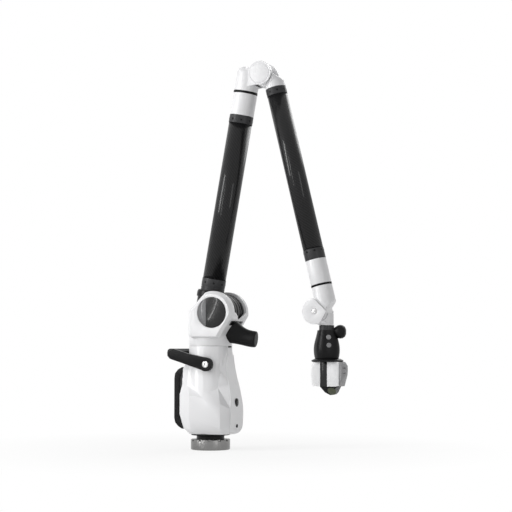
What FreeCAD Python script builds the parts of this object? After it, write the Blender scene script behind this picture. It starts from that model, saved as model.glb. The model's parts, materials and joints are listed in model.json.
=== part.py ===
import FreeCAD, Part

import math
import os

from FreeCAD import Placement, Rotation, Vector

# Portable measuring arm: a base with a threaded lock ring, a swivelling turret, two carbon links
# with fold joints that lie to one side of the tubes, and a grip that carries a scanner head.
# Millimetres. Z is up from the mouth of the lock ring, X lies in the plane of the folded arm,
# and every fold axis is along Y.

# ---- driving dimensions ----
THREAD_R = 44.45            # 3 1/2 inch mounting thread
RING_R = 58.5
RING_H = 31.0
SEAT_Z = 16.4               # where the neck rests on the mount
SEAT_R = 43.8
FOOT_R = 47.8               # captive foot inside the lock ring
NECK_R = 41.4
FLANGE_R = 57.8
FLANGE_Z = 43.0
HOUSING_Z = 47.5
COLUMN_R = 64.5
SEAM_Z = 307.5              # turret turns above this seam
SEAL_R = 63.0               # seal set in the top of the column

BUTTON_Z = 140.0            # power button in the rear cover
LATCH_Z = 71.0              # screw at the foot of the rear cover
BAIL_X, BAIL_Z = 16.0, 253.0        # pivot of the bail handle
BAIL_Y = 66.6               # inner face of the bail's arms
BAIL_T = 15.0

SHOULDER_X, SHOULDER_Z = 32.5, 405.5
UPPER_LEAN = 10.18          # degrees from upright, towards +X
UPPER_OFFSET = -38.6        # tube axis from the shoulder axis, in the link's own frame
ELBOW_X, ELBOW_Z = 8.8, 723.3      # elbow axis in the upper link's frame
FORE_TURN = 166.5          # degrees from upright to the forearm's direction
FORE_OFFSET = -27.5         # forearm tube axis from the elbow axis, in the forearm's frame
WRIST_Z = 728.6             # wrist axis along the forearm's frame
GRIP_OFFSET = 25.1          # grip axis from the wrist axis, along X

EAR_GAP = 48.0              # inner faces of the turret's ears
EAR_FACE = 74.0             # outer faces of the turret's ears
EAR_R = 63.5
CAP_R = 45.0                # round cap in each ear
HUB_R = 56.0
UPPER_R = 34.7              # upper carbon tube
UPPER_SLEEVE_R = 35.8
FORE_R = 29.9               # forearm carbon tube
FORE_SLEEVE_R = 30.7
WALL = 2.5                  # of the carbon tubes
RUN = 0.05                  # radial running clearance of a shaft
GAP = 0.4                   # clear gap between bodies that turn on each other

X_AXIS = Vector(1, 0, 0)
Y_AXIS = Vector(0, 1, 0)
Z_AXIS = Vector(0, 0, 1)


# ---- small makers ----
def disc(r, z0, z1, x=0.0, y=0.0):
    """Upright cylinder."""
    return Part.makeCylinder(r, z1 - z0, Vector(x, y, z0))


def ring(ro, ri, z0, z1, x=0.0):
    """Upright ring."""
    return disc(ro, z0, z1, x).cut(disc(ri, z0 - 1, z1 + 1, x))


def cross(r, y0, y1, x, z):
    """Cylinder along Y."""
    return Part.makeCylinder(r, y1 - y0, Vector(x, y0, z), Y_AXIS)


def cross_ring(ro, ri, y0, y1, x, z):
    """Ring along Y."""
    return cross(ro, y0, y1, x, z).cut(cross(ri, y0 - 1, y1 + 1, x, z))


def block(x0, x1, y0, y1, z0, z1):
    """Box between two corners."""
    return Part.makeBox(x1 - x0, y1 - y0, z1 - z0, Vector(x0, y0, z0))


def fuse(first, *others):
    """One solid from several, with shared faces merged."""
    return first.multiFuse(list(others)).removeSplitter()


def face_of(points):
    """Flat face from its corner points."""
    return Part.Face(Part.makePolygon(points + [points[0]]))


def plate_xz(points, y0, y1):
    """Prism along Y from an outline in X and Z."""
    return face_of([Vector(x, y0, z) for x, z in points]).extrude(Vector(0, y1 - y0, 0))


def turned(profile, x=0.0):
    """Solid of revolution about an upright axis, from an outline in radius and Z."""
    face = face_of([Vector(x + r, 0, z) for r, z in profile])
    return face.revolve(Vector(x, 0, 0), Z_AXIS, 360)


def rounded(shape, radius, pick):
    """Fillet the edges that pick chooses."""
    edges = [edge for edge in shape.Edges if pick(edge)]
    return shape.makeFillet(radius, edges) if edges else shape


def both_sides(shape):
    """The shape and its mirror image across the arm's own plane."""
    return Part.makeCompound([shape, shape.mirror(Vector(0, 0, 0), Y_AXIS)])


def around(shape, count, x=0.0, first=0.0):
    """Copies of a shape, evenly spaced around an upright axis."""
    copies = []
    for i in range(count):
        copy = shape.copy()
        copy.rotate(Vector(x, 0, 0), Z_AXIS, first + i * 360.0 / count)
        copies.append(copy)
    return copies


def faceted(rings):
    """Closed solid with flat triangular facets between rings of equal point count."""
    faces = [face_of(rings[0]), face_of(rings[-1])]
    count = len(rings[0])
    for low, high in zip(rings, rings[1:]):
        for i in range(count):
            j = (i + 1) % count
            faces.append(face_of([low[i], low[j], high[i]]))
            faces.append(face_of([low[j], high[j], high[i]]))
    solid = Part.makeSolid(Part.makeShell(faces))
    if solid.Volume < 0:
        solid.reverse()
    return solid


# ---- frames of the links ----
SHOULDER = Placement(Vector(SHOULDER_X, 0, SHOULDER_Z), Rotation(Y_AXIS, UPPER_LEAN))
ELBOW_AT = SHOULDER.multVec(Vector(ELBOW_X, 0, ELBOW_Z))
ELBOW = Placement(ELBOW_AT, Rotation(Y_AXIS, FORE_TURN))
WRIST_AT = ELBOW.multVec(Vector(0, 0, WRIST_Z))
WRIST = Placement(WRIST_AT, Rotation())


def placed(shape, frame):
    """A copy of a shape, carried from a link's frame to the arm's."""
    copy = shape.copy()
    copy.Placement = frame.multiply(copy.Placement)
    return copy


# ---- mounting ----
def lock_ring():
    body = turned([
        (THREAD_R, 0), (RING_R - 2, 0), (RING_R, 2), (RING_R, RING_H - 1.5),
        (RING_R - 1.5, RING_H), (NECK_R + 0.8, RING_H), (NECK_R + 0.8, 25.6),
        (49, 25.6), (49, 16), (THREAD_R, 16)])
    notch = block(RING_R - 5, RING_R + 2, -3.5, 3.5, RING_H - 5, RING_H + 1)
    return body.cut(Part.makeCompound(around(notch, 12, first=19.5)))


def mount_neck():
    """Captive foot inside the lock ring, the neck, and the flange that the housing stands on."""
    return turned([
        (0, SEAT_Z), (SEAT_R, SEAT_Z), (SEAT_R, SEAT_Z + 2), (FOOT_R, SEAT_Z + 2), (FOOT_R, 25.2),
        (NECK_R, 25.2), (NECK_R, 41),
        (NECK_R + 2, FLANGE_Z), (FLANGE_R - 1, FLANGE_Z), (FLANGE_R, FLANGE_Z + 1),
        (FLANGE_R, HOUSING_Z), (0, HOUSING_Z)])


# ---- base housing: faceted body that grows out of a round column ----
# Half outlines, from the middle of the -X face round to the +X face, on the -Y side.
HALF_RINGS = [
    [(-46, -24, 47.5), (-52, -39, 47.5), (-34, -54, 47.5), (-9, -56, 47.5), (54, -56, 47.5), (76, -40, 47.5)],
    [(-60, -26, 65), (-70, -42, 65), (-37, -67, 65), (-9, -68, 65), (58, -68, 65), (84, -47, 65)],
    [(-66, -28, 106), (-81, -45, 106), (-38, -74, 103), (-9, -74, 88), (60, -74, 88), (86, -51, 88)],
    [(-66, -28, 164), (-81, -45, 164), (-38, -74, 162), (6, -74, 155), (60, -74, 137), (86, -51, 122)],
    [(-66, -28, 197), (-75, -37, 197), (-50, -54, 190), (0, -60, 184), (44, -48, 182), (78, -40, 188)],
    [(-66, -26, 242), (-75, -34, 240), (-54, -42, 242), (0, -56, 242), (42, -44, 242), (66, -33, 246)],
    [(-40, -20, 290), (-46, -28, 290), (-40, -36, 290), (0, -50, 290), (40, -36, 290), (62, -22, 290)],
]

# Outer face of the rear cover: X against Z, and its half width against Z.
COVER_FACE = [(69, 45), (79, 53), (83.2, 66), (84.5, 90), (84.5, 125), (81.5, 158), (76.7, 188),
              (69.6, 218), (65.6, 246), (64.6, 284)]
COVER_HALF = [(24, 46.5), (39, 52), (48, 66), (51, 90), (51, 125), (44.6, 158), (40.3, 188),
              (37.5, 218), (33, 246), (24, 281)]
COVER_T = 3.0


def housing_rings(inset, z_low, z_high):
    """Full rings of the housing, drawn in by a wall thickness."""
    rings = []
    for half in HALF_RINGS:
        points = []
        for x, y, z in half:
            r = math.hypot(x, y)
            k = (r - inset) / r
            points.append(Vector(x * k, y * k, min(max(z, z_low), z_high)))
        rings.append(points + [Vector(p.x, -p.y, p.z) for p in reversed(points)])
    return rings


def cover_side(shift):
    """Spline of the cover's face, moved in by shift, in the plane Y = 0."""
    curve = Part.BSplineCurve()
    curve.interpolate([Vector(x - shift, 0, z) for x, z in COVER_FACE])
    return curve.toShape()


def beyond_cover(shift):
    """Everything outside the cover's face, moved in by shift."""
    edge = cover_side(shift)
    a = edge.valueAt(edge.LastParameter)
    b = edge.valueAt(edge.FirstParameter)
    far = 130.0
    lid = Part.makePolygon([a, Vector(a.x, 0, 320), Vector(far, 0, 320), Vector(far, 0, 30),
                            Vector(b.x, 0, 30), b])
    face = Part.Face(Part.Wire(Part.__sortEdges__([edge] + lid.Edges)))
    solid = face.extrude(Vector(0, 180, 0))
    solid.translate(Vector(0, -90, 0))
    return solid


def base_housing():
    shell = faceted(housing_rings(0, HOUSING_Z, 290))
    shell = shell.fuse(disc(COLUMN_R, 120, SEAM_Z - 0.6))
    shell = shell.cut(beyond_cover(COVER_T))
    hollow = faceted(housing_rings(6, 53, 280))
    hollow = hollow.common(block(-100, 72, -100, 100, 50, 285))
    shell = shell.cut(hollow).cut(disc(56, 150, 298)).cut(disc(30, 290, 310))
    battery_bay = block(60, 100, -29, 29, 53, 142)
    seal_seat = ring(SEAL_R, 60.5, 302.5, SEAM_Z)
    shell = shell.cut(battery_bay).cut(seal_seat)
    bushes = both_sides(cross(11.02, -70, -55, BAIL_X, BAIL_Z))
    return shell.cut(bushes)


def cover_outline():
    """Prism along X with the cover's outline."""
    right = Part.BSplineCurve()
    right.interpolate([Vector(0, y, z) for y, z in COVER_HALF])
    left = Part.BSplineCurve()
    left.interpolate([Vector(0, -y, z) for y, z in COVER_HALF])
    (y0, z0), (y1, z1) = COVER_HALF[0], COVER_HALF[-1]
    bottom = Part.makeLine(Vector(0, -y0, z0), Vector(0, y0, z0))
    top = Part.makeLine(Vector(0, -y1, z1), Vector(0, y1, z1))
    wire = Part.Wire(Part.__sortEdges__([right.toShape(), top, left.toShape(), bottom]))
    return Part.Face(wire).extrude(Vector(120, 0, 0))


def rear_cover():
    slab = beyond_cover(COVER_T).cut(beyond_cover(0))
    cover = slab.common(cover_outline())
    cover = cover.cut(Part.makeCylinder(12.5, 40, Vector(70, 0, BUTTON_Z), X_AXIS))
    return cover.cut(Part.makeCylinder(5.2, 10, Vector(82.4, 0, LATCH_Z), X_AXIS))


def power_bezel():
    at = Vector(81.55, 0, BUTTON_Z)
    rim = Part.makeCylinder(12.4, 3.6, at, X_AXIS)
    return rim.cut(Part.makeCylinder(9.1, 10, at - X_AXIS, X_AXIS))


def power_button():
    cap = Part.makeCylinder(8.9, 4.6, Vector(81.9, 0, BUTTON_Z), X_AXIS)
    return rounded(cap, 1.0, lambda e: e.CenterOfMass.x > 86)


def cover_latch():
    """Quarter-turn screw that holds the cover at its foot."""
    head = Part.makeCylinder(5, 3.6, Vector(82.4, 0, LATCH_Z), X_AXIS)
    slot = block(84.8, 90, -0.8, 0.8, LATCH_Z - 4, LATCH_Z + 4)
    return head.cut(slot)


# ---- handles on the base ----
def carry_handle():
    """Upright D handle whose feet land on the housing's -X face."""
    outer = [(-60, 244), (-88, 244), (-104, 236), (-113, 225), (-115, 210), (-115, 92), (-112, 78), (-104, 69),
             (-88, 60), (-58, 60)]
    inner = [(-60, 227), (-84, 227), (-92, 221), (-97, 209), (-97, 95), (-93, 84), (-80, 76), (-58, 76)]
    bar = plate_xz(outer + inner[::-1], -12, 12)
    bar = bar.cut(faceted(housing_rings(0, HOUSING_Z, 290)))
    bar = max(bar.Solids, key=lambda s: s.Volume)
    return rounded(bar, 5.0, lambda e: abs(abs(e.CenterOfMass.y) - 12) < 0.1 and e.CenterOfMass.x < -98)


def bail_arm_outline():
    """Side outline of the bail: a disc at the pivot and a tapering arm up to the cross bar."""
    return [(16, 273), (-38, 284), (-74, 295), (-88, 299), (-101, 299.5), (-107, 296), (-109, 288), (-108.5, 278),
            (-102, 270.5), (-60, 257.5), (4, 237)]


def bail_handle():
    arm = plate_xz(bail_arm_outline(), -BAIL_Y - BAIL_T, -BAIL_Y)
    arm = fuse(arm, cross(20, -BAIL_Y - BAIL_T, -BAIL_Y, BAIL_X, BAIL_Z))
    bar = [(-86, 292), (-90, 299.1), (-101, 299.5), (-107, 296), (-109, 288), (-108.5, 278), (-102, 270.5),
           (-94, 271.5), (-87, 279)]
    bar = plate_xz(bar, -BAIL_Y - 1, BAIL_Y + 1)
    bail = fuse(arm, bar, arm.mirror(Vector(0, 0, 0), Y_AXIS))
    bail = rounded(bail, 9.0, lambda e: e.CenterOfMass.x < -103 and abs(e.CenterOfMass.y) > 80)
    holes = both_sides(cross(7.05, -90, -60, BAIL_X, BAIL_Z))
    sinks = both_sides(cross(11, -90, -BAIL_Y - BAIL_T + 4, BAIL_X, BAIL_Z))
    return bail.cut(holes).cut(sinks)


def bail_bushes():
    """Flanged bushes set in the column, on which the bail turns."""
    bush = fuse(cross(11, -66.2, -55, BAIL_X, BAIL_Z), cross(7, -78, -60, BAIL_X, BAIL_Z))
    return both_sides(bush)


def bail_screws():
    """Socket screws that hold the bail on its bushes."""
    head = cross(9.5, -82.6, -78, BAIL_X, BAIL_Z)
    socket = Part.makePolygon([Vector(BAIL_X + 4 * math.cos(a), -84, BAIL_Z + 4 * math.sin(a))
                               for a in [math.radians(60 * i) for i in range(7)]])
    return both_sides(head.cut(Part.Face(socket).extrude(Vector(0, 4, 0))))


# ---- inside the base ----
def bearing_carrier():
    tube = ring(40, 34, 205, 298)
    foot = ring(55.9, 39, 292, 298)
    return fuse(tube, foot)


def base_bearings():
    rings = [ring(33.95, 24 + RUN, z, z + 16) for z in (210, 278)]
    return Part.makeCompound(rings)


def battery_pack():
    pack = block(26, 74, -28, 28, 53, 139)
    return rounded(pack, 4, lambda e: abs(e.tangentAt(e.FirstParameter).x) > 0.99)


def main_board():
    board = block(-40, 15, 33, 34.6, 60, 160)
    foot = block(-40, 15, 28, 40, 53, 60)
    chips = [block(-30 + 20 * i, -18 + 20 * i, 30.5, 33, 80 + 20 * i, 96 + 20 * i) for i in range(2)]
    return fuse(board, foot, *chips)


# ---- turret ----
def ear_outline(inset, y):
    """Outline of an ear: an arc over the shoulder axis with flats, as a wire at one Y."""
    cx, cz = SHOULDER_X, SHOULDER_Z
    r = EAR_R - inset
    left = -44.0 + inset
    low = 331.0 + 0.5 * inset
    cut = 58.0 - inset
    clip = 8.0

    def on_arc(deg):
        a = math.radians(deg)
        return Vector(cx + r * math.cos(a), y, cz + r * math.sin(a))

    half = math.degrees(math.acos(cut / r))
    start, end = -32.7 + half, 136.0 - half
    n_low = (math.cos(math.radians(-32.7)), math.sin(math.radians(-32.7)))
    n_top = (math.cos(math.radians(136.0)), math.sin(math.radians(136.0)))
    foot = Vector(cx + (cut - n_low[1] * (low - cz)) / n_low[0], y, low)
    shoulder = Vector(left, y, cz + (cut - n_top[0] * (left - cx)) / n_top[1])
    heel = Vector(left, y, low + clip)
    toe = Vector(left + clip, y, low)
    arc = Part.Arc(on_arc(start), on_arc(0.5 * (start + end)), on_arc(end)).toShape()
    lines = [Part.makeLine(on_arc(end), shoulder), Part.makeLine(shoulder, heel), Part.makeLine(heel, toe),
             Part.makeLine(toe, foot), Part.makeLine(foot, on_arc(start))]
    return Part.Wire([arc] + lines)


def turret_housing():
    bevel = 9.0
    edge = EAR_FACE - bevel
    middle = Part.Face(ear_outline(0, -edge)).extrude(Vector(0, 2 * edge, 0))
    front = Part.makeLoft([ear_outline(0, -edge), ear_outline(bevel, -EAR_FACE)], True, True)
    back = Part.makeLoft([ear_outline(0, edge), ear_outline(bevel, EAR_FACE)], True, True)
    column = disc(COLUMN_R, SEAM_Z + 0.3, 345)
    turret = fuse(middle, front, back, column)
    cavity = cross(HUB_R + 2.5, -EAR_GAP, EAR_GAP, SHOULDER_X, SHOULDER_Z)
    upward = block(-70, SHOULDER_X + 40, -EAR_GAP, EAR_GAP, 362, 500)
    lift = block(SHOULDER_X, 120, -EAR_GAP, EAR_GAP, SHOULDER_Z, 500)
    turret = turret.cut(cavity).cut(upward.cut(block(SHOULDER_X, 120, -60, 60, 360, SHOULDER_Z))).cut(lift)
    notch = face_of([Vector(60, -EAR_GAP, 409), Vector(60, 0, 385), Vector(60, EAR_GAP, 409)])
    turret = turret.cut(notch.extrude(Vector(60, 0, 0)))
    recess = both_sides(cross(CAP_R + 1, -80, -EAR_FACE + 4, SHOULDER_X, SHOULDER_Z))
    axle_hole = cross(12, -80, 80, SHOULDER_X, SHOULDER_Z)
    spindle_seat = disc(24.02, 300, 330)
    return turret.cut(recess).cut(axle_hole).cut(spindle_seat)


def turret_seal():
    return ring(SEAL_R, 60.5, 302.5, SEAM_Z)


def turret_spindle():
    return fuse(disc(24, 204, 330), disc(30, 200, 204))


def base_encoder_disc():
    return ring(36, 24.0, 197, 200)


def ear_cap(x_from, x_to, side):
    """Part of the round cap in an ear's recess, between two X limits."""
    y0, y1 = sorted((side * (EAR_FACE - 4), side * (EAR_FACE - 1)))
    cap = cross(CAP_R, y0, y1, SHOULDER_X, SHOULDER_Z)
    return cap.common(block(x_from, x_to, -90, 90, 340, 480))


def shoulder_axle():
    shaft = cross(12, -EAR_FACE + 4, EAR_FACE - 4, SHOULDER_X, SHOULDER_Z)
    return shaft


def oval(x, z, tilt, half_z, half_y):
    """Upright oval section of the shoulder handle, leaning by tilt degrees about Y."""
    wire = Part.Wire([Part.Ellipse(Vector(0, 0, 0), half_z, half_y).toShape()])
    wire.Placement = Placement(Vector(x, 0, z), Rotation(Y_AXIS, 90 + tilt))
    return wire


def shoulder_handle():
    """Moulded grip with a flared root on the turret's lower +X flank."""
    sections = [oval(62, 351, 33, 38, 29), oval(84, 343, 24, 31, 23), oval(108, 334, 12, 25.5, 18),
                oval(132, 328, 6, 24.5, 18), oval(146, 327, 6, 23.5, 17.5)]
    grip = Part.makeLoft(sections, True, False)
    grip = rounded(grip, 4.0, lambda e: e.CenterOfMass.x > 142)
    turret_side = Part.Face(ear_outline(0, -70)).extrude(Vector(0, 140, 0))
    grip = grip.cut(turret_side).cut(disc(COLUMN_R, 300, 345))
    return max(grip.Solids, key=lambda s: s.Volume)


# ---- upper link, in the shoulder's frame ----
UPPER_TUBE = (75.0, 586.0)
UPPER_COLLARS = ((59.9, 96.4), (568.4, 592.8))
UPPER_RING = 658.7           # dark ring below the elbow
UPPER_SCREWS = (84.0, 579.0)


def shoulder_hub():
    barrel = cross(HUB_R, -46, 46, 0, 0)
    grooves = [cross_ring(HUB_R + 2, HUB_R - 4, y, y + 5, 0, 0) for y in (-31, -9, 13, 29)]
    neck = disc(41, -4, 40, UPPER_OFFSET)
    flange = turned([(0, 38), (42, 38), (44.5, 41), (44.5, 53), (42, UPPER_COLLARS[0][0]), (0, UPPER_COLLARS[0][0])],
                    UPPER_OFFSET)
    hub = fuse(barrel.cut(Part.makeCompound(grooves)), neck, flange)
    bore = cross(12 + RUN, -60, 60, 0, 0)
    seats = [cross(24, y, y + 12, 0, 0) for y in (-46.5, 34.5)]
    cell = cross(32, -30, 30, 0, 0)
    return hub.cut(bore).cut(Part.makeCompound(seats)).cut(cell)


def shoulder_bearings():
    return Part.makeCompound([cross_ring(23.97, 12 + RUN, y, y + 12, 0, 0) for y in (-46.5, 34.5)])


def counterbalance_spring():
    """Torsion spring cartridge around the shoulder axle."""
    shell = cross_ring(31.98, 14, -30, 30, 0, 0)
    grooves = [cross_ring(34, 29, -24 + 8 * i, -20 + 8 * i, 0, 0) for i in range(6)]
    return shell.cut(Part.makeCompound(grooves))


def collar_screws(collar_r, z, axis_x, head_r, depth, rise):
    """Round heads around a collar, from a depth under its face to a rise over it."""
    head = Part.makeCylinder(head_r, depth + rise, Vector(axis_x + collar_r - depth, 0, z), X_AXIS)
    return around(head, 8, axis_x, 22.5)


def tube_collar(r, span, tube_r, tube_span, axis_x, screw_z, grooves=()):
    """Metal collar bonded over the end of a tube and solid beyond it, with holes for its screws."""
    body = ring(r, 17, span[0], span[1], axis_x)
    for z in grooves:
        body = body.cut(ring(r + 1, r - 1, z, z + 2, axis_x))
    body = body.cut(disc(tube_r + 0.04, tube_span[0] - 0.1, tube_span[1] + 0.1, axis_x))
    return body.cut(Part.makeCompound(collar_screws(r, screw_z, axis_x, 3.1, r - tube_r, 4)))


def tube(r, span, axis_x):
    return ring(r, r - WALL, span[0], span[1], axis_x)


def sleeve(r, z0, z1, axis_x, bore):
    return ring(r, bore, z0, z1, axis_x)


def swivel_shaft(r, z0, z1, axis_x):
    """Hollow shaft with a retaining head, free to turn in its bearings."""
    return fuse(disc(r, z0, z1, axis_x), disc(r + 6, z0, z0 + 5, axis_x))


def swivel_bearings(ro, ri, starts, axis_x):
    return Part.makeCompound([ring(ro, ri, z, z + 10, axis_x) for z in starts])


# ---- elbow housing, in the shoulder's frame ----
ELBOW_EAR_R = 35.5
ELBOW_SLOT = 24.2
ELBOW_HALF = 38.0


def elbow_yoke():
    """Round housing with a domed top and two ears that hold the forearm's knuckle."""
    start = UPPER_RING + 7 + GAP
    top = ELBOW_Z + 15
    body = turned([(0, start), (UPPER_SLEEVE_R, start), (UPPER_SLEEVE_R, top - 16), (UPPER_SLEEVE_R - 5, top - 6),
                   (UPPER_SLEEVE_R - 14, top), (0, top)], UPPER_OFFSET)
    ears = cross(ELBOW_EAR_R, -ELBOW_HALF, ELBOW_HALF, ELBOW_X, ELBOW_Z)
    bridge = plate_xz([(UPPER_OFFSET, ELBOW_Z - 44), (UPPER_OFFSET + 14, ELBOW_Z - 44), (ELBOW_X - 6, ELBOW_Z - 35),
                       (ELBOW_X, ELBOW_Z), (ELBOW_X, ELBOW_Z + 34), (UPPER_OFFSET + 10, ELBOW_Z + 13),
                       (UPPER_OFFSET, ELBOW_Z + 13)], -33, 33)
    yoke = fuse(body, ears, bridge)
    slot = cross(ELBOW_EAR_R + 4, -ELBOW_SLOT, ELBOW_SLOT, ELBOW_X, ELBOW_Z)
    slot = slot.fuse(block(ELBOW_X, ELBOW_X + 50, -ELBOW_SLOT, ELBOW_SLOT, ELBOW_Z - 50, ELBOW_Z + 50))
    caps = both_sides(cross(30, -50, -ELBOW_HALF + 1.5, ELBOW_X, ELBOW_Z))
    axle = cross(10, -60, 60, ELBOW_X, ELBOW_Z)
    hollow = disc(29, start + 6, top - 12, UPPER_OFFSET)
    return yoke.cut(hollow).cut(slot).cut(caps).cut(axle)


def elbow_caps():
    return both_sides(cross(29.6, -ELBOW_HALF - 0.6, -ELBOW_HALF + 1.5, ELBOW_X, ELBOW_Z))


def elbow_axle():
    return cross(10, -ELBOW_HALF + 1.6, ELBOW_HALF - 1.6, ELBOW_X, ELBOW_Z)


# ---- forearm, in the elbow's frame: +Z runs down to the wrist, -X is the outer side ----
FORE_TUBE = (56.0, 566.5)
FORE_COLLARS = ((51.6, 74.0), (548.8, 580.2))
FORE_RING = 653.0            # dark ring above the wrist
FORE_SCREWS = (63.0, 555.5)


def circle_wire(r, x, z):
    return Part.Wire([Part.makeCircle(r, Vector(x, 0, z))])


def elbow_knuckle():
    """Knuckle that runs from a barrel on the elbow axis to the round end of the forearm."""
    barrel = cross(ELBOW_EAR_R - 1, -ELBOW_SLOT + 0.5, ELBOW_SLOT - 0.5, 0, 0)
    round_end = disc(FORE_SLEEVE_R, -30, FORE_COLLARS[0][0], FORE_OFFSET)
    slope = face_of([Vector(-6.4, 0, -21), Vector(-42.7, 0, 18.8), Vector(-70, 0, 48.7), Vector(-70, 0, -60),
                     Vector(20, 0, -60), Vector(20, 0, -21)]).extrude(Vector(0, 120, 0))
    slope.translate(Vector(0, -60, 0))
    web = plate_xz([(-FORE_SLEEVE_R + FORE_OFFSET + 60, FORE_COLLARS[0][0] - 8), (34, 4), (0, 0), (-30, 30)],
                   -ELBOW_SLOT + 0.5, ELBOW_SLOT - 0.5)
    body = fuse(round_end, web).cut(slope)
    for side in (-1, 1):
        y0, y1 = sorted((side * (ELBOW_SLOT - 0.5), side * 60))
        body = body.cut(cross(ELBOW_EAR_R + 1.2, y0, y1, 0, 0))
    body = max(body.Solids, key=lambda s: s.Volume)
    knuckle = fuse(body, barrel.cut(slope))
    knuckle = knuckle.cut(disc(24, 30, FORE_COLLARS[0][0] + 1, FORE_OFFSET))
    return knuckle.cut(cross(10 + RUN, -60, 60, 0, 0))


# ---- wrist housing, in the elbow's frame ----
WRIST_BARREL_R = 34.0
WRIST_HALF = 30.0


def wrist_yoke():
    """Round housing cut off at a slant, with the wrist barrel on its inner side."""
    start = FORE_RING + 6 + GAP
    body = disc(FORE_SLEEVE_R, start, WRIST_Z + 10, FORE_OFFSET)
    slant = face_of([Vector(-80, -60, WRIST_Z - 36), Vector(-23.9, -60, WRIST_Z + 4), Vector(10, -60, WRIST_Z + 29),
                     Vector(10, -60, WRIST_Z + 60), Vector(-80, -60, WRIST_Z + 60)]).extrude(Vector(0, 120, 0))
    barrel = cross(WRIST_BARREL_R, -WRIST_HALF, WRIST_HALF, 0, WRIST_Z)
    body = fuse(body.cut(slant), barrel)
    body = body.cut(disc(25, start + 6, WRIST_Z - 24, FORE_OFFSET)).cut(cross(26, -23, 23, 0, WRIST_Z))
    body = body.fuse(cross(15, -24, 24, 0, WRIST_Z))
    return body.cut(cross(9, -60, 60, 0, WRIST_Z))


def wrist_axle():
    return cross(9, -WRIST_HALF - 6, WRIST_HALF + 6, 0, WRIST_Z)


# ---- hand, in the wrist's frame: upright, grip axis at +X ----
HAND_END = -40.0            # where the grip starts to turn
HAND_EAR_R = 37.8
HAND_EAR = (31.1, 37.6)
SPIGOT_H = 8.0              # spigot of the grip inside the hand


def hand_knuckle():
    """Two slanted ears over the wrist barrel that run together into a round neck."""
    ear = cross(HAND_EAR_R, HAND_EAR[0], HAND_EAR[1], 0, 0)
    ear = ear.common(plate_xz([(-60, 70), (-17, 50), (35.6, 0), (9, -45), (-60, -45)], 0, 60))
    mouth = Part.Wire([Part.Ellipse(Vector(8, HAND_EAR[1], -28), Vector(33, 0, -28), Vector(8, 0, -28)).toShape()])
    neck = Part.makeLoft([circle_wire(22.7, GRIP_OFFSET, HAND_END), mouth], True, True)
    rim = mouth.copy()
    rim.translate(Vector(0, 0, 14))
    cup = Part.makeLoft([mouth, rim], True, True)
    post = disc(20.5, HAND_END, -6, GRIP_OFFSET)
    body = fuse(neck, cup, post, ear, ear.mirror(Vector(0, 0, 0), Y_AXIS))
    body = body.cut(cross(WRIST_BARREL_R + 1.2, -HAND_EAR[0], HAND_EAR[0], 0, 0))
    body = max(body.Solids, key=lambda s: s.Volume)
    body = body.cut(cross(9 + RUN, -60, 60, 0, 0))
    return body.cut(disc(10 + RUN, HAND_END - 1, HAND_END + SPIGOT_H + 0.4, GRIP_OFFSET))


# ---- grip and scanner head, in the wrist's frame ----
GRIP_TOP = HAND_END - GAP
COLLAR_H = 14.1
GRIP_LEVELS = [(-54.5, 26.5), (-80.6, 32.6), (-107.6, 37.3), (-125.0, 36.4), (-137.0, 33.8)]
SKIRT_Z = -146.0
PANEL_TURN = -62.0          # degrees about the grip axis, where the triggers face
TRIGGERS = ((-75.0, 32.6), (-98.0, 37.0))     # level and face radius of each trigger
TRIGGER_L = 8.5


def lobed(r, z):
    """Closed section with four soft lobes, so that the grip has fluted flanks."""
    points = []
    for i in range(24):
        a = math.radians(15 * i)
        reach = r * (1 + 0.045 * math.cos(4 * a + math.radians(20)))
        points.append(Vector(GRIP_OFFSET + reach * math.cos(a), reach * math.sin(a), z))
    curve = Part.BSplineCurve()
    curve.interpolate(points, PeriodicFlag=True)
    return Part.Wire([curve.toShape()])


def grip_collar():
    """Collar with the spigot on which the grip turns in the hand knuckle."""
    z0 = GRIP_TOP - COLLAR_H
    return turned([(0, z0), (23, z0), (22, z0 + 3), (22, GRIP_TOP - 1), (21, GRIP_TOP), (10, GRIP_TOP),
                   (10, HAND_END + SPIGOT_H), (0, HAND_END + SPIGOT_H)], GRIP_OFFSET)


def grip_body():
    body = Part.makeLoft([lobed(r, z) for z, r in GRIP_LEVELS], True, False)
    for z, _ in TRIGGERS:
        body = body.cut(radial(22.0, 30, z, 7.3, PANEL_TURN))
    return body


def radial(r, reach, z, radius, turn):
    """Cylinder pointing out of the grip axis."""
    a = math.radians(turn)
    out = Vector(math.cos(a), math.sin(a), 0)
    return Part.makeCylinder(radius, reach, Vector(GRIP_OFFSET, 0, z) + out * r, out)


def trigger_button(z, face):
    key = radial(face - TRIGGER_L, TRIGGER_L, z, 7.0, PANEL_TURN)
    return rounded(key, 1.2, lambda e: (e.CenterOfMass - Vector(GRIP_OFFSET, 0, z)).Length > face - 1)


def side_grip():
    """Round knob on a short neck, for the other hand."""
    profile = [(0, 0), (13, 0), (12, 14), (15, 18), (19, 24), (20, 31), (19, 38), (15, 44), (8, 47.5), (0, 48)]
    knob = turned(profile)
    knob.Placement = Placement(Vector(GRIP_OFFSET + 9, 0, -59), Rotation(Vector(0, 0, 1), 12).multiply(
        Rotation(Y_AXIS, 90)))
    knob = knob.cut(Part.makeLoft([lobed(r, z) for z, r in GRIP_LEVELS], True, False))
    knob = knob.cut(disc(23.1, GRIP_TOP - COLLAR_H, 0, GRIP_OFFSET))
    return max(knob.Solids, key=lambda s: s.Volume)


def grip_skirt():
    return turned([(0, SKIRT_Z), (44.5, SKIRT_Z), (47, SKIRT_Z + 3), (45.5, SKIRT_Z + 5), (37, SKIRT_Z + 9),
                   (0, SKIRT_Z + 9)], GRIP_OFFSET + 2)


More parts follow.
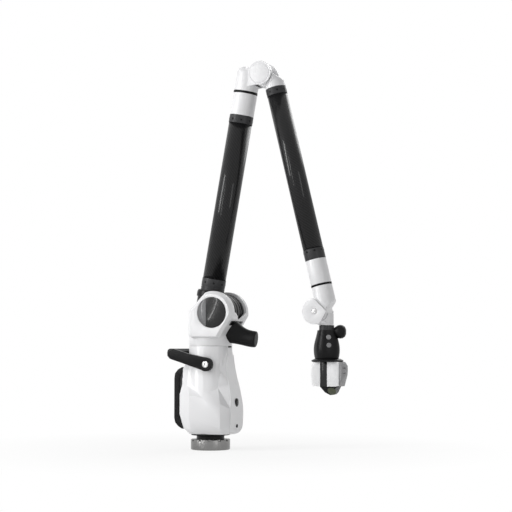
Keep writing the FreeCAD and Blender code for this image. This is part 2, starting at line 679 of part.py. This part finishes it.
HEAD_LEFT, HEAD_RIGHT = -14.0, 70.0
HEAD_CHEEK = 80.0
HEAD_TOP, HEAD_LOW = SKIRT_Z, -216.5
HEAD_HALF = 29.0
STRIP_X = (14.0, 34.5)      # black strip on the head's face


def scanner_body():
    outline = [(HEAD_LEFT + 6, HEAD_TOP), (HEAD_RIGHT, HEAD_TOP), (HEAD_RIGHT, HEAD_LOW + 3), (HEAD_RIGHT - 10, HEAD_LOW),
               (HEAD_LEFT + 4, HEAD_LOW), (HEAD_LEFT, HEAD_LOW + 12), (HEAD_LEFT - 2, -184), (HEAD_LEFT, HEAD_TOP - 10)]
    body = plate_xz(outline, -HEAD_HALF, HEAD_HALF)
    body = rounded(body, 6.0, lambda e: abs(abs(e.CenterOfMass.y) - HEAD_HALF) < 0.1 and
                   e.CenterOfMass.x < HEAD_RIGHT - 12 and e.CenterOfMass.z > HEAD_LOW + 5 and
                   e.CenterOfMass.z < HEAD_TOP - 2)
    strip_seat = block(STRIP_X[0], STRIP_X[1], -40, -HEAD_HALF + 1, HEAD_LOW - 1, HEAD_TOP + 1)
    return body.cut(strip_seat)


def scanner_strip():
    return block(STRIP_X[0] + 0.1, STRIP_X[1] - 0.1, -HEAD_HALF - 0.6, -HEAD_HALF + 1, HEAD_LOW, HEAD_TOP)


def scanner_cheek():
    """Grey side of the head that tapers down to the nose, with two cooling slots."""
    outline = [(HEAD_RIGHT, HEAD_TOP), (HEAD_RIGHT + 3, HEAD_TOP - 1), (HEAD_CHEEK, HEAD_TOP - 12),
               (HEAD_CHEEK + 0.5, -170), (HEAD_CHEEK - 1, -186), (HEAD_CHEEK - 5, -200), (HEAD_RIGHT + 0.5, HEAD_LOW),
               (HEAD_RIGHT, HEAD_LOW)]
    cheek = plate_xz(outline, -HEAD_HALF + 1, HEAD_HALF - 1)
    slots = [block(HEAD_CHEEK - 3, HEAD_CHEEK + 3, -24, 6, z, z + 4) for z in (-166, -181)]
    return cheek.cut(Part.makeCompound(slots))


NOSE_TILT = Placement(Vector(45, -17, -231), Rotation(X_AXIS, 35))     # frame of the optics


def scanner_nose():
    """Black snout under the head that holds the optics, with a slanted front."""
    outline = [(HEAD_LEFT + 26, HEAD_LOW), (HEAD_RIGHT - 8.5, HEAD_LOW), (HEAD_RIGHT - 14.5, -228),
               (HEAD_RIGHT - 17, -234), (HEAD_RIGHT - 24, -240.5), (HEAD_LEFT + 52, -242), (HEAD_LEFT + 38, -234)]
    nose = plate_xz(outline, -25, 25)
    slant = placed(block(-60, 60, -40, 0, -60, 60), NOSE_TILT)
    seat = placed(Part.makeCylinder(13.2, 8, Vector(0, -4, 0), Y_AXIS), NOSE_TILT)
    return nose.cut(slant).cut(seat)


def scanner_window():
    return placed(Part.makeCylinder(13, 3, Vector(0, 1, 0), Y_AXIS), NOSE_TILT)


# ---- nodes ----
def base_nodes():
    return {
        "lock_ring": lock_ring(), "mount_neck": mount_neck(),
        "base_housing": base_housing(), "rear_cover": rear_cover(), "cover_latch": cover_latch(),
        "power_bezel": power_bezel(), "power_button": power_button(), "carry_handle": carry_handle(),
        "bail_handle": bail_handle(), "bail_bushes": bail_bushes(), "bail_screws": bail_screws(),
        "bearing_carrier": bearing_carrier(), "base_bearings": base_bearings(),
        "battery_pack": battery_pack(), "main_board": main_board(), "turret_seal": turret_seal(),
    }


def turret_nodes():
    split = 14.0
    return {
        "turret_housing": turret_housing(), "turret_spindle": turret_spindle(),
        "base_encoder_disc": base_encoder_disc(), "front_cap_grey": ear_cap(-40, split, -1),
        "ear_caps_black": Part.makeCompound([ear_cap(split, 100, -1), ear_cap(-40, 100, 1)]),
        "shoulder_axle": shoulder_axle(), "shoulder_handle": shoulder_handle(),
    }


def upper_nodes():
    x = UPPER_OFFSET
    low, high = UPPER_COLLARS
    r = UPPER_SLEEVE_R
    heads = [head for z in UPPER_SCREWS for head in collar_screws(r, z, x, 2.9, 1.0, 0.4)]
    local = {
        "shoulder_hub": shoulder_hub(), "shoulder_bearings": shoulder_bearings(),
        "counterbalance_spring": counterbalance_spring(),
        "upper_collar_low": tube_collar(r, low, UPPER_R, UPPER_TUBE, x, UPPER_SCREWS[0], (65, 71)),
        "upper_tube": tube(UPPER_R, UPPER_TUBE, x),
        "upper_collar_high": tube_collar(r, high, UPPER_R, UPPER_TUBE, x, UPPER_SCREWS[1]),
        "upper_collar_screws": Part.makeCompound(heads),
        "upper_sleeve": sleeve(r, high[1], UPPER_RING, x, 30),
        "elbow_seal_ring": sleeve(r + 0.3, UPPER_RING, UPPER_RING + 7, x, 30),
        "elbow_swivel_bearings": swivel_bearings(29.95, 16 + RUN, (608, 646), x),
        "elbow_swivel_shaft": swivel_shaft(16, 600, UPPER_RING + 7 + GAP, x),
        "elbow_yoke": elbow_yoke(), "elbow_caps": elbow_caps(), "elbow_axle": elbow_axle(),
    }
    return {name: placed(shape, SHOULDER) for name, shape in local.items()}


def fore_nodes():
    x = FORE_OFFSET
    low, high = FORE_COLLARS
    r = FORE_SLEEVE_R
    heads = [head for z in FORE_SCREWS for head in collar_screws(r, z, x, 2.9, 0.7, 0.4)]
    local = {
        "elbow_knuckle": elbow_knuckle(),
        "forearm_collar_high": tube_collar(r, low, FORE_R, FORE_TUBE, x, FORE_SCREWS[0]),
        "forearm_tube": tube(FORE_R, FORE_TUBE, x),
        "forearm_collar_low": tube_collar(r, high, FORE_R, FORE_TUBE, x, FORE_SCREWS[1]),
        "forearm_collar_screws": Part.makeCompound(heads),
        "forearm_sleeve": sleeve(r, high[1], FORE_RING, x, 26),
        "wrist_seal_ring": sleeve(r + 0.2, FORE_RING, FORE_RING + 6, x, 26),
        "wrist_swivel_bearings": swivel_bearings(25.95, 14 + RUN, (598, 640), x),
        "wrist_swivel_shaft": swivel_shaft(14, 588, FORE_RING + 6 + GAP, x),
        "wrist_yoke": wrist_yoke(), "wrist_axle": wrist_axle(),
    }
    return {name: placed(shape, ELBOW) for name, shape in local.items()}


def hand_nodes():
    local = {
        "hand_knuckle": hand_knuckle(), "grip_collar": grip_collar(),
        "grip_body": grip_body(), "side_grip": side_grip(), "grip_skirt": grip_skirt(),
        "trigger_button_high": trigger_button(*TRIGGERS[0]),
        "trigger_button_low": trigger_button(*TRIGGERS[1]),
        "scanner_body": scanner_body(), "scanner_strip": scanner_strip(), "scanner_cheek": scanner_cheek(),
        "scanner_nose": scanner_nose(), "scanner_window": scanner_window(),
    }
    return {name: placed(shape, WRIST) for name, shape in local.items()}


def main():
    os.makedirs("parts", exist_ok=True)
    for group in (base_nodes(), turret_nodes(), upper_nodes(), fore_nodes(), hand_nodes()):
        for name, shape in group.items():
            shape.exportStep("parts/" + name + ".step")
            print(name, shape.ShapeType, len(shape.Solids), round(shape.Volume), shape.isValid())


main()
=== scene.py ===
import json
import math

import bmesh
import bpy
from mathutils import Matrix, Vector


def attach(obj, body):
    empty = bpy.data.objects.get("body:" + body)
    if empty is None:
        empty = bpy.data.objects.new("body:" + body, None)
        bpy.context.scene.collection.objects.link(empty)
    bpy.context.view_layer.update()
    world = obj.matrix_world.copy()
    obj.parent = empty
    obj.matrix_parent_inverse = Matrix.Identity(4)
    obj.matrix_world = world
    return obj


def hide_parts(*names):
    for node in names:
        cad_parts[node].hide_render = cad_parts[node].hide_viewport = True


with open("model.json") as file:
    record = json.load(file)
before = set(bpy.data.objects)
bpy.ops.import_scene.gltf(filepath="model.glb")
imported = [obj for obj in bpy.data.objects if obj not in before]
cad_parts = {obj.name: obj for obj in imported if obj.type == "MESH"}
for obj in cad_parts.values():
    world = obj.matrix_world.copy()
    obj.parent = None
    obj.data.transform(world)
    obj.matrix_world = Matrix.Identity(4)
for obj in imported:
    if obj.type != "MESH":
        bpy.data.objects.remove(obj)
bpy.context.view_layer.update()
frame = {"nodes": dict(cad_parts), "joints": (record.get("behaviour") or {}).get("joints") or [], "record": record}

# Looks of the portable measuring arm. Metres throughout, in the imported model's own frame.

NODES = frame["nodes"]
JOINTS = {joint["name"]: joint for joint in frame["joints"]}
SLOT_OF = {part["node"]: part["material_slot"] for part in frame["record"]["subparts"]}

Y = Vector((0, 1, 0))
Z = Vector((0, 0, 1))


# ---- places read from the frame ----
def joint_line(name):
    """Point and unit direction of a joint's axis."""
    joint = JOINTS[name]
    return Vector(joint["pos_m"]), Vector(joint["axis"]).normalized()


UPPER_AT, UPPER_DIR = joint_line("elbow_swivel")
FORE_AT, FORE_DIR = joint_line("wrist_swivel")


def extent(node, at, along):
    """Lowest and highest place of a node along a line, and its greatest distance from that line."""
    low, high, far = 1e9, -1e9, 0.0
    for vertex in NODES[node].data.vertices:
        offset = vertex.co - at
        t = offset.dot(along)
        low, high = min(low, t), max(high, t)
        far = max(far, (offset - along * t).length)
    return low, high, far


# ---- materials ----
# Scales of the noises, in features for each metre.
CLOUDS = 9
PATCHES = 14
RUBS = 35
METAL_WEAR = 45
PAINT_WEAR = 60
POLISH = 80
ORANGE_PEEL = 900
GRAIN = 1700

PAINT_COAT_ROUGH = 0.12
GLAZE_COAT_ROUGH = 0.03
PEEL_DEPTH = 0.0004
GRAIN_DEPTH = 0.0002
TOOL_LINE = 0.0004          # spacing of a turning tool's lines
TOOL_LINE_DEPTH = 0.0001
TOW = 0.0024                # width of one carbon tow
TOW_CROWN = 3.2             # how fast a tow's height falls towards its edges; the same curve darkens its colour there as painted shade
TOW_DEPTH = 0.0003


class Surface:
    """A Principled material, with short ways to add texture nodes to it."""

    def __init__(self, name, color, rough, metallic=0.0, coat=0.0, coat_rough=0.05, specular=0.5):
        self.material = bpy.data.materials.new(name)
        self.material.use_nodes = True
        self.tree = self.material.node_tree
        self.shader = self.tree.nodes["Principled BSDF"]
        self.set("Base Color", (*color, 1))
        self.set("Roughness", rough)
        self.set("Metallic", metallic)
        self.set("Coat Weight", coat)
        self.set("Coat Roughness", coat_rough)
        self.set("Specular IOR Level", specular)
        self.coords = self.tree.nodes.new("ShaderNodeTexCoord")

    def set(self, socket, value):
        self.shader.inputs[socket].default_value = value

    def node(self, kind, **values):
        made = self.tree.nodes.new("ShaderNode" + kind)
        for key, value in values.items():
            setattr(made, key, value)
        return made

    def link(self, source, target):
        self.tree.links.new(source, target)

    def noise(self, scale, detail, stretch=(1, 1, 1)):
        """Noise value in object space, squeezed along the axes by stretch."""
        mapping = self.node("Mapping")
        mapping.inputs["Scale"].default_value = stretch
        self.link(self.coords.outputs["Object"], mapping.inputs["Vector"])
        noise = self.node("TexNoise")
        noise.inputs["Scale"].default_value = scale
        noise.inputs["Detail"].default_value = detail
        self.link(mapping.outputs["Vector"], noise.inputs["Vector"])
        return noise.outputs["Fac"]

    def math(self, operation, a, b=0.0):
        made = self.node("Math", operation=operation)
        for socket, value in zip(made.inputs, (a, b)):
            if isinstance(value, (int, float)):
                socket.default_value = value
            else:
                self.link(value, socket)
        return made.outputs[0]

    def span(self, value, low, high, from_low=0.3, from_high=0.7):
        """Value carried from one span to another."""
        made = self.node("MapRange")
        made.inputs["From Min"].default_value = from_low
        made.inputs["From Max"].default_value = from_high
        made.inputs["To Min"].default_value = low
        made.inputs["To Max"].default_value = high
        self.link(value, made.inputs["Value"])
        return made.outputs["Result"]

    def rough_from(self, value, low, high):
        self.link(self.span(value, low, high), self.shader.inputs["Roughness"])

    def color_from(self, value, low, high, from_low=0.3, from_high=0.7):
        """Base colour that runs from one colour to another with a value."""
        ramp = self.node("ValToRGB")
        ramp.color_ramp.elements[0].position = from_low
        ramp.color_ramp.elements[1].position = from_high
        ramp.color_ramp.elements[0].color = (*low, 1)
        ramp.color_ramp.elements[1].color = (*high, 1)
        self.link(value, ramp.inputs["Fac"])
        self.link(ramp.outputs["Color"], self.shader.inputs["Base Color"])

    def bump(self, value, strength, distance):
        """Bump of the whole surface from one value."""
        made = self.node("Bump")
        made.inputs["Strength"].default_value = strength
        made.inputs["Distance"].default_value = distance
        self.link(value, made.inputs["Height"])
        self.link(made.outputs["Normal"], self.shader.inputs["Normal"])


def shades(color, spread):
    """Two colours either side of one."""
    return tuple(c * (1 - spread) for c in color), tuple(min(1, c * (1 + spread)) for c in color)


def painted(name, color, rough, coat):
    """Sprayed coat: faint cloudiness and orange peel."""
    surface = Surface(name, color, rough, coat=coat, coat_rough=PAINT_COAT_ROUGH)
    surface.color_from(surface.noise(CLOUDS, 2), *shades(color, 0.012))
    surface.rough_from(surface.noise(PAINT_WEAR, 4), rough - 0.04, rough + 0.05)
    surface.bump(surface.noise(ORANGE_PEEL, 2), 0.035, PEEL_DEPTH)
    return surface.material


def moulded(name, color, rough, grain=0.25, specular=0.14):
    """Moulded plastic with a fine spark-eroded grain and rubbed patches."""
    surface = Surface(name, color, rough, specular=specular)
    surface.color_from(surface.noise(PATCHES, 4), *shades(color, 0.12))
    surface.rough_from(surface.noise(RUBS, 5), rough - 0.07, rough + 0.08)
    surface.bump(surface.noise(GRAIN, 3), grain, GRAIN_DEPTH)
    return surface.material


def turned(name, color, rough, along):
    """Turned metal: fine tool lines that lie across the axis along."""
    surface = Surface(name, color, rough, metallic=1.0)
    lines = surface.noise(1 / TOOL_LINE, 2, [abs(part) for part in along])
    surface.color_from(lines, *shades(color, 0.10))
    surface.rough_from(surface.noise(METAL_WEAR, 4), rough - 0.06, rough + 0.08)
    surface.bump(lines, 0.25, TOOL_LINE_DEPTH)
    return surface.material


def carbon(name):
    """Two by two twill under a clear coat; the piece's UV is in metres around and along the tube."""
    surface = Surface(name, (0.01, 0.01, 0.011), 0.36, coat=0.3, coat_rough=0.06, specular=0.1)
    split = surface.node("SeparateXYZ")
    surface.link(surface.coords.outputs["UV"], split.inputs["Vector"])
    around = surface.math("DIVIDE", split.outputs["X"], TOW)
    along = surface.math("DIVIDE", split.outputs["Y"], TOW)
    cell = surface.math("ADD", surface.math("FLOOR", around), surface.math("FLOOR", along))
    phase = surface.math("FLOORED_MODULO", cell, 4.0)
    warp = surface.math("LESS_THAN", phase, 1.5)
    across_u = surface.math("SUBTRACT", surface.math("FRACT", around), 0.5)
    across_v = surface.math("SUBTRACT", surface.math("FRACT", along), 0.5)
    side = surface.node("Mix", data_type="FLOAT")
    surface.link(warp, side.inputs[0])
    surface.link(across_v, side.inputs[2])
    surface.link(across_u, side.inputs[3])
    across = side.outputs[0]
    square = surface.math("MULTIPLY", across, across)
    crown = surface.math("SUBTRACT", 1.0, surface.math("MULTIPLY", square, TOW_CROWN))
    # Painted sheen and shade in the base colour: warp tows are painted lighter than weft tows, and each tow is
    # painted darker towards its edges.
    surface.color_from(surface.math("MULTIPLY", crown, surface.span(warp, 0.42, 1.0, 0, 1)),
                       (0.0015, 0.0015, 0.0017), (0.018, 0.018, 0.019), 0.05, 1.0)
    surface.link(surface.span(warp, 0.48, 0.3, 0, 1), surface.shader.inputs["Roughness"])
    surface.bump(crown, 0.5, TOW_DEPTH)
    return surface.material


def glazed(name, color, rough, specular=0.4, coat=0.4):
    """Smooth gloss face with faint polishing marks in its roughness."""
    surface = Surface(name, color, rough, coat=coat, coat_rough=GLAZE_COAT_ROUGH, specular=specular)
    surface.rough_from(surface.noise(POLISH, 3), rough, rough + 0.04)
    return surface.material


WHITE = (0.80, 0.80, 0.81)
BLACK = (0.006, 0.006, 0.0064)

LOOKS = {
    "turned_steel": turned("turned_steel", (0.22, 0.218, 0.215), 0.30, Z),
    "black_anodised": moulded("black_anodised", (0.007, 0.007, 0.0075), 0.32, 0.1),
    "white_shell": painted("white_shell", WHITE, 0.36, 0.2),
    "white_plastic": painted("white_plastic", (0.83, 0.83, 0.835), 0.3, 0.3),
    "dark_plastic": moulded("dark_plastic", BLACK, 0.36),
    "grey_metal": moulded("grey_metal", (0.045, 0.045, 0.047), 0.34, 0.08),
    "steel": turned("steel", (0.5, 0.5, 0.5), 0.27, Y),
    "cast_aluminium": turned("cast_aluminium", (0.55, 0.55, 0.56), 0.4, Z),
    "battery_case": moulded("battery_case", (0.05, 0.05, 0.055), 0.5),
    "circuit_board": moulded("circuit_board", (0.03, 0.16, 0.07), 0.35),
    "seal_rubber": moulded("seal_rubber", (0.006, 0.006, 0.0063), 0.6),
    "encoder_glass": glazed("encoder_glass", (0.6, 0.65, 0.65), 0.05),
    "cap_grey": glazed("cap_grey", (0.135, 0.135, 0.14), 0.26),
    "cap_black": glazed("cap_black", (0.004, 0.004, 0.0045), 0.22, 0.3, 0.2),
    "spring_steel": turned("spring_steel", (0.25, 0.25, 0.26), 0.35, Y),
    "carbon_fibre": carbon("carbon_fibre"),
    "strip_black": glazed("strip_black", (0.005, 0.005, 0.005), 0.2, 0.3, 0.2),
    "grey_plastic": moulded("grey_plastic", (0.24, 0.24, 0.245), 0.42, 0.3, 0.4),
    "optic_glass": glazed("optic_glass", (0.045, 0.055, 0.02), 0.08),
}


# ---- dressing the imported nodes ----
WELD_GAP = 1e-6
SHARP_ANGLE = math.radians(32)      # edges sharper than this are rounded
BEVEL_STEPS = 3
DEFAULT_BEVEL = 0.0004
BEVELS = {
    "base_housing": 0.006, "rear_cover": 0.0012, "carry_handle": 0.004, "bail_handle": 0.0045,
    "lock_ring": 0.0008, "mount_neck": 0.0008, "turret_housing": 0.0035, "shoulder_hub": 0.0015,
    "elbow_yoke": 0.002, "elbow_caps": 0.0006, "elbow_knuckle": 0.002, "wrist_yoke": 0.0015,
    "hand_knuckle": 0.0015, "grip_skirt": 0.0012, "scanner_body": 0.002, "scanner_cheek": 0.002,
    "scanner_nose": 0.002,
}


def soften(piece, width):
    """Rounded edges and smooth curved faces, made by modifiers."""
    for polygon in piece.data.polygons:
        polygon.use_smooth = True
    weld = piece.modifiers.new("weld", "WELD")
    weld.merge_threshold = WELD_GAP
    bevel = piece.modifiers.new("bevel", "BEVEL")
    bevel.width = width
    bevel.segments = BEVEL_STEPS
    bevel.limit_method = "ANGLE"
    bevel.angle_limit = SHARP_ANGLE
    bevel.use_clamp_overlap = True
    bevel.harden_normals = True


def give(piece, look):
    """One material for the whole piece."""
    piece.data.materials.clear()
    piece.data.materials.append(LOOKS[look])


for node, piece in NODES.items():
    give(piece, SLOT_OF[node])
    soften(piece, BEVELS.get(node, DEFAULT_BEVEL))


# ---- pieces made here ----
def new_piece(name, mesh, body, look, *replaced):
    """Piece that moves with a body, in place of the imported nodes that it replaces."""
    piece = bpy.data.objects.new(name, mesh)
    bpy.context.scene.collection.objects.link(piece)
    mesh.materials.append(LOOKS[look])
    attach(piece, body)
    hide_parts(*replaced)


def basis(at, along):
    """Matrix that carries +Z to a direction at a point."""
    rotation = Z.rotation_difference(along).to_matrix().to_4x4()
    return Matrix.Translation(at) @ rotation


# ---- carbon tubes ----
TUBE_WALL = 0.0025
TUBE_STEPS = 96


def lathe(profile, at, along):
    """Closed profile of radius and height, turned about a line, with its UV in metres."""
    mesh = bpy.data.meshes.new("lathe")
    work = bmesh.new()
    uv = work.loops.layers.uv.new("UVMap")
    place = basis(at, along)
    rings = []
    for radius, height in profile:
        rings.append([work.verts.new(place @ Vector((radius * math.cos(math.tau * i / TUBE_STEPS),
                                                     radius * math.sin(math.tau * i / TUBE_STEPS), height)))
                      for i in range(TUBE_STEPS)])
    runs = [0.0]
    for (r0, h0), (r1, h1) in zip(profile, profile[1:]):
        runs.append(runs[-1] + math.hypot(r1 - r0, h1 - h0))
    width = max(radius for radius, _ in profile) * math.tau / TUBE_STEPS
    last = len(rings) - 1
    for low, high in [*zip(range(last), range(1, last + 1)), (last, 0)]:
        top = runs[high] if high else runs[low]
        for i in range(TUBE_STEPS):
            j = (i + 1) % TUBE_STEPS
            face = work.faces.new((rings[low][i], rings[low][j], rings[high][j], rings[high][i]))
            face.smooth = True
            corners = ((i, runs[low]), (i + 1, runs[low]), (i + 1, top), (i, top))
            for loop, (step, run) in zip(face.loops, corners):
                loop[uv].uv = (step * width, run)
    work.to_mesh(mesh)
    work.free()
    return mesh


def tube_skin(name, node, body, at, along):
    """Carbon tube with its weave laid out around and along it."""
    low, high, radius = extent(node, at, along)
    bore = radius - TUBE_WALL
    profile = [(bore, low), (radius, low), (radius, high), (bore, high)]
    new_piece(name, lathe(profile, at, along), body, "carbon_fibre", node)


tube_skin("upper_tube_weave", "upper_tube", "upper_arm", UPPER_AT, UPPER_DIR)
tube_skin("forearm_tube_weave", "forearm_tube", "forearm", FORE_AT, FORE_DIR)


# ---- screws of the collars ----
COLLAR_SCREWS = 8
SCREW_STEPS = 24
SCREW_R = 0.0026
SCREW_H = 0.0009
SCREW_SUNK = 0.0006         # how far a head's foot lies under the collar's face
SCREW_EDGE = 0.75           # height of the chamfer's foot, of the head's
SCREW_FACE = 0.86           # radius inside the chamfer, of the head's
SOCKET_R = 0.5              # corners of the hexagon, of the head's radius
SOCKET_FLOOR = 0.25         # height of the socket's floor, of the head's


def hexagon_reach(angle):
    """Distance from a hexagon's middle to its side, of its corners' distance."""
    sector = math.pi / 3
    return math.cos(math.pi / 6) / math.cos(angle % sector - math.pi / 6)


def screw_into(work, at, out):
    """Adds a socket screw head: chamfered disc with a hexagonal hole, standing on a point."""
    place = basis(at, out)
    angles = [math.tau * i / SCREW_STEPS for i in range(SCREW_STEPS)]

    def loop_at(height, sizes):
        return [work.verts.new(place @ Vector((size * math.cos(angle), size * math.sin(angle), height)))
                for size, angle in zip(sizes, angles)]

    def circle(size, height):
        return loop_at(height, [size] * SCREW_STEPS)

    def hexagon(height):
        return loop_at(height, [SOCKET_R * SCREW_R * hexagon_reach(angle) for angle in angles])

    loops = [circle(SCREW_R, 0), circle(SCREW_R, SCREW_EDGE * SCREW_H), circle(SCREW_FACE * SCREW_R, SCREW_H),
             hexagon(SCREW_H), hexagon(SOCKET_FLOOR * SCREW_H)]
    for low, high in zip(loops, loops[1:]):
        for i in range(SCREW_STEPS):
            j = (i + 1) % SCREW_STEPS
            work.faces.new((low[i], low[j], high[j], high[i]))
    work.faces.new(loops[-1])
    work.faces.new(loops[0][::-1])


def collar_places(node, collar, at, along):
    """Point and outward direction of each screw in a tube's two collars."""
    low, high, _ = extent(node, at, along)
    reach = extent(collar, at, along)[2]
    side = Y.cross(along).normalized()
    places = []
    for level in (low + SCREW_R, high - SCREW_R):
        for i in range(COLLAR_SCREWS):
            angle = math.tau * (i + 0.5) / COLLAR_SCREWS
            out = side * math.cos(angle) + Y * math.sin(angle)
            places.append((at + along * level + out * (reach - SCREW_SUNK), out))
    return places


def collar_bolts(name, node, collar, body, at, along):
    """One piece with a socket screw in place of each packed head of a tube's collars."""
    mesh = bpy.data.meshes.new(name)
    work = bmesh.new()
    for point, out in collar_places(node, collar, at, along):
        screw_into(work, point, out)
    work.to_mesh(mesh)
    work.free()
    new_piece(name, mesh, body, "black_anodised", node)


collar_bolts("upper_collar_bolts", "upper_collar_screws", "upper_collar_low", "upper_arm",
             UPPER_AT, UPPER_DIR)
collar_bolts("forearm_collar_bolts", "forearm_collar_screws", "forearm_collar_low", "forearm",
             FORE_AT, FORE_DIR)


# ---- studio ----
CAMERA_TURN = math.radians(20.6)
CAMERA_TILT = math.radians(3.68)
CAMERA_AWAY = 4.2
CAMERA_HEIGHT = 0.307
CAMERA_SIDE = 0.1356
CAMERA_FAR = 60
LENS = 98.44
AMBIENT = 0.30              # strength of the world on the object
FLOOR_HALF = 30.0
FLOOR_GREY = 0.86
FLOOR_ROUGH = 0.9
GLOW_FROM, GLOW_TO = 0.1, 0.9       # the floor's own glow grows between these distances
GLOW_NEAR = 0.8             # share of the glow close to the arm
CENTRE = (0.15, 0, 0.6)     # what the lamps face

# Name, place, size and watts.
LAMPS = [
    ("key", (-2.3, -1.9, 1.7), (0.7, 2.4), 66),
    ("streak", (-1.25, -2.9, 0.9), (0.09, 2.8), 17),
    ("fill", (2.6, -1.9, 0.8), (0.6, 2.0), 12),
    ("back", (0.8, 2.4, 2.4), (2.0, 1.2), 22),
]


def facing(location, target):
    """Rotation of a lamp that looks from one point to another."""
    return (Vector(target) - Vector(location)).to_track_quat("-Z", "Y").to_euler()


def add_camera():
    right = Vector((math.cos(CAMERA_TURN), math.sin(CAMERA_TURN), 0))
    back = Vector((math.sin(CAMERA_TURN), -math.cos(CAMERA_TURN), 0))
    camera = bpy.data.objects.new("camera", bpy.data.cameras.new("camera"))
    camera.data.lens = LENS
    camera.data.clip_end = CAMERA_FAR
    camera.location = right * CAMERA_SIDE + back * CAMERA_AWAY + Z * CAMERA_HEIGHT
    camera.rotation_euler = (math.pi / 2 + CAMERA_TILT, 0, CAMERA_TURN)
    bpy.context.scene.collection.objects.link(camera)
    bpy.context.scene.camera = camera


def add_lamp(name, location, size, power):
    data = bpy.data.lights.new(name, "AREA")
    data.shape = "RECTANGLE"
    data.size, data.size_y = size
    data.energy = power
    lamp = bpy.data.objects.new(name, data)
    lamp.location = location
    lamp.rotation_euler = facing(location, CENTRE)
    bpy.context.scene.collection.objects.link(lamp)


def seen_directly(tree):
    """1 for rays from the camera, from gloss and through glass, else 0."""
    path = tree.nodes.new("ShaderNodeLightPath")
    seen = path.outputs["Is Camera Ray"]
    for kind in ("Is Glossy Ray", "Is Transmission Ray"):
        either = tree.nodes.new("ShaderNodeMath")
        either.operation = "MAXIMUM"
        tree.links.new(seen, either.inputs[0])
        tree.links.new(path.outputs[kind], either.inputs[1])
        seen = either.outputs[0]
    return seen


def add_world():
    world = bpy.data.worlds.new("studio")
    world.use_nodes = True
    tree = world.node_tree
    background = tree.nodes["Background"]
    background.inputs["Color"].default_value = (1, 1, 1, 1)
    strength = tree.nodes.new("ShaderNodeMapRange")
    strength.inputs["To Min"].default_value = AMBIENT
    strength.inputs["To Max"].default_value = 1.0
    tree.links.new(seen_directly(tree), strength.inputs["Value"])
    tree.links.new(strength.outputs["Result"], background.inputs["Strength"])
    bpy.context.scene.world = world


def floor_material():
    """Pale floor that takes the arm's shadow and fades into the white around it."""
    material = bpy.data.materials.new("floor")
    material.use_nodes = True
    tree = material.node_tree
    shader = tree.nodes["Principled BSDF"]
    shader.inputs["Base Color"].default_value = (FLOOR_GREY, FLOOR_GREY, FLOOR_GREY, 1)
    shader.inputs["Roughness"].default_value = FLOOR_ROUGH
    glow = tree.nodes.new("ShaderNodeEmission")
    mix = tree.nodes.new("ShaderNodeMixShader")
    share = tree.nodes.new("ShaderNodeMath")
    share.operation = "MULTIPLY"
    tree.links.new(seen_directly(tree), share.inputs[0])
    coords = tree.nodes.new("ShaderNodeTexCoord")
    length = tree.nodes.new("ShaderNodeVectorMath")
    length.operation = "LENGTH"
    tree.links.new(coords.outputs["Object"], length.inputs[0])
    fade = tree.nodes.new("ShaderNodeMapRange")
    fade.inputs["From Min"].default_value = GLOW_FROM
    fade.inputs["From Max"].default_value = GLOW_TO
    fade.inputs["To Min"].default_value = GLOW_NEAR
    fade.inputs["To Max"].default_value = 1.0
    tree.links.new(length.outputs["Value"], fade.inputs["Value"])
    tree.links.new(fade.outputs["Result"], share.inputs[1])
    tree.links.new(share.outputs[0], mix.inputs["Fac"])
    tree.links.new(shader.outputs["BSDF"], mix.inputs[1])
    tree.links.new(glow.outputs["Emission"], mix.inputs[2])
    output = tree.nodes["Material Output"]
    tree.links.new(mix.outputs["Shader"], output.inputs["Surface"])
    return material


def add_floor():
    mesh = bpy.data.meshes.new("floor")
    corners = [(-FLOOR_HALF, -FLOOR_HALF, 0), (FLOOR_HALF, -FLOOR_HALF, 0), (FLOOR_HALF, FLOOR_HALF, 0),
               (-FLOOR_HALF, FLOOR_HALF, 0)]
    mesh.from_pydata(corners, [], [(0, 1, 2, 3)])
    mesh.materials.append(floor_material())
    floor = bpy.data.objects.new("floor", mesh)
    bpy.context.scene.collection.objects.link(floor)


add_camera()
add_world()
add_floor()
for lamp in LAMPS:
    add_lamp(*lamp)
bpy.context.scene.view_settings.view_transform = "Standard"
